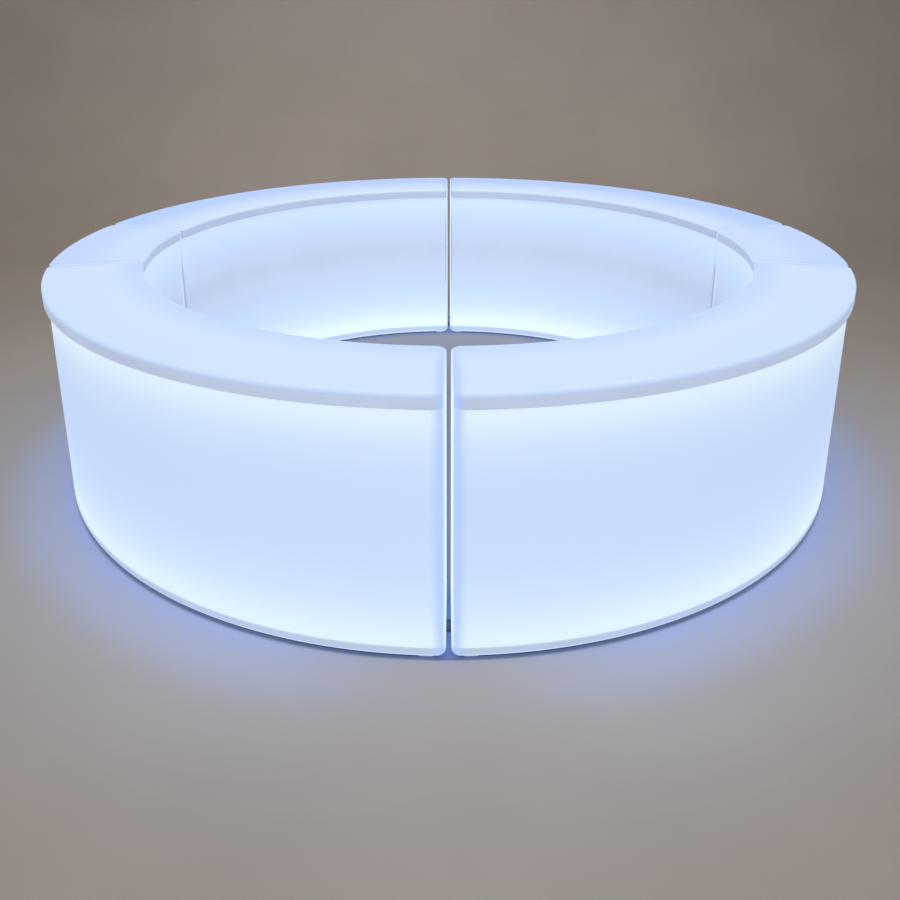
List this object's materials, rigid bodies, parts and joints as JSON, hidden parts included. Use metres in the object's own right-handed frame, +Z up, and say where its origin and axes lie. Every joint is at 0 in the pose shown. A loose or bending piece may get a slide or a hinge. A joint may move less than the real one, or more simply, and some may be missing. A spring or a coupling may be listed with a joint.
{
  "type": "illuminated circular bar counter",
  "caption": "Ring-shaped free-standing bar counter of hollow moulded modules that glow from inside, with pull-out gates at the sides for the staff.",
  "frame": {"origin": "centre of the ring on the floor", "axes": "+Z up; the front open gap towards -Y, the gates at +X and -X"},
  "size_m": [4.1198, 4.1184, 1.1],
  "materials": {
    "glowing_polyethylene": "satin, lit from inside",
    "white_polyethylene": "sawn sheet, satin",
    "pad_polyethylene": "moulded, satin",
    "frame_aluminium": "mill finish",
    "led_strip": "silicone-coated strip",
    "pack_enamel": "powder coat",
    "panel_abs": "moulded",
    "button_rubber": "silicone",
    "switch_nylon": "moulded",
    "port_nylon": "moulded, with plated contacts",
    "screw_steel": "zinc plated",
    "strap_steel": "black phosphated steel"
  },
  "bodies": {
    "ring": {"back_right_shell": "glowing_polyethylene", "back_right_base_plate": "white_polyethylene", "back_right_light_frame": "frame_aluminium", "back_right_led_strips": "led_strip", "back_right_power_pack": "pack_enamel", "back_right_control_panel": "panel_abs", "back_left_shell": "glowing_polyethylene", "back_left_base_plate": "white_polyethylene", "back_left_light_frame": "frame_aluminium", "back_left_led_strips": "led_strip", "back_left_power_pack": "pack_enamel", "back_left_control_panel": "panel_abs", "front_left_shell": "glowing_polyethylene", "front_left_base_plate": "white_polyethylene", "front_left_light_frame": "frame_aluminium", "front_left_led_strips": "led_strip", "front_left_power_pack": "pack_enamel", "front_left_control_panel": "panel_abs", "front_right_shell": "glowing_polyethylene", "front_right_base_plate": "white_polyethylene", "front_right_light_frame": "frame_aluminium", "front_right_led_strips": "led_strip", "front_right_power_pack": "pack_enamel", "front_right_control_panel": "panel_abs", "wing_switches": "switch_nylon", "wing_charge_ports": "port_nylon", "floor_pads": "pad_polyethylene", "plate_screws": "screw_steel", "joining_straps": "strap_steel", "strap_screws": "screw_steel"},
    "right_gate": {"right_gate_shell": "glowing_polyethylene", "right_gate_base_plate": "white_polyethylene", "right_gate_light_frame": "frame_aluminium", "right_gate_led_strips": "led_strip", "right_gate_power_pack": "pack_enamel", "right_gate_control_panel": "panel_abs", "right_gate_switch": "switch_nylon", "right_gate_charge_port": "port_nylon", "right_gate_foot_pads": "pad_polyethylene", "right_gate_base_screws": "screw_steel"},
    "left_gate": {"left_gate_shell": "glowing_polyethylene", "left_gate_base_plate": "white_polyethylene", "left_gate_light_frame": "frame_aluminium", "left_gate_led_strips": "led_strip", "left_gate_power_pack": "pack_enamel", "left_gate_control_panel": "panel_abs", "left_gate_switch": "switch_nylon", "left_gate_charge_port": "port_nylon", "left_gate_foot_pads": "pad_polyethylene", "left_gate_base_screws": "screw_steel"},
    "back_right_button": {"back_right_button": "button_rubber"},
    "back_left_button": {"back_left_button": "button_rubber"},
    "front_left_button": {"front_left_button": "button_rubber"},
    "front_right_button": {"front_right_button": "button_rubber"},
    "right_gate_button": {"right_gate_button": "button_rubber"},
    "left_gate_button": {"left_gate_button": "button_rubber"}
  },
  "joints": [
    {"name": "right_gate_pull", "type": "slide", "parent": "ring", "child": "right_gate", "axis": [1, 0, 0], "range_m": [0, 1]},
    {"name": "left_gate_pull", "type": "slide", "parent": "ring", "child": "left_gate", "axis": [-1, 0, 0], "range_m": [0, 1]},
    {"name": "back_right_button_press", "type": "slide", "parent": "ring", "child": "back_right_button", "axis": [0, 0, 1], "range_m": [0, 0.0025], "stiffness_N_per_m": 800, "springref_m": -0.002},
    {"name": "back_left_button_press", "type": "slide", "parent": "ring", "child": "back_left_button", "axis": [0, 0, 1], "range_m": [0, 0.0025], "stiffness_N_per_m": 800, "springref_m": -0.002},
    {"name": "front_left_button_press", "type": "slide", "parent": "ring", "child": "front_left_button", "axis": [0, 0, 1], "range_m": [0, 0.0025], "stiffness_N_per_m": 800, "springref_m": -0.002},
    {"name": "front_right_button_press", "type": "slide", "parent": "ring", "child": "front_right_button", "axis": [0, 0, 1], "range_m": [0, 0.0025], "stiffness_N_per_m": 800, "springref_m": -0.002},
    {"name": "right_gate_button_press", "type": "slide", "parent": "right_gate", "child": "right_gate_button", "axis": [0, 0, 1], "range_m": [0, 0.0025], "stiffness_N_per_m": 800, "springref_m": -0.002},
    {"name": "left_gate_button_press", "type": "slide", "parent": "left_gate", "child": "left_gate_button", "axis": [0, 0, 1], "range_m": [0, 0.0025], "stiffness_N_per_m": 800, "springref_m": -0.002}
  ]
}
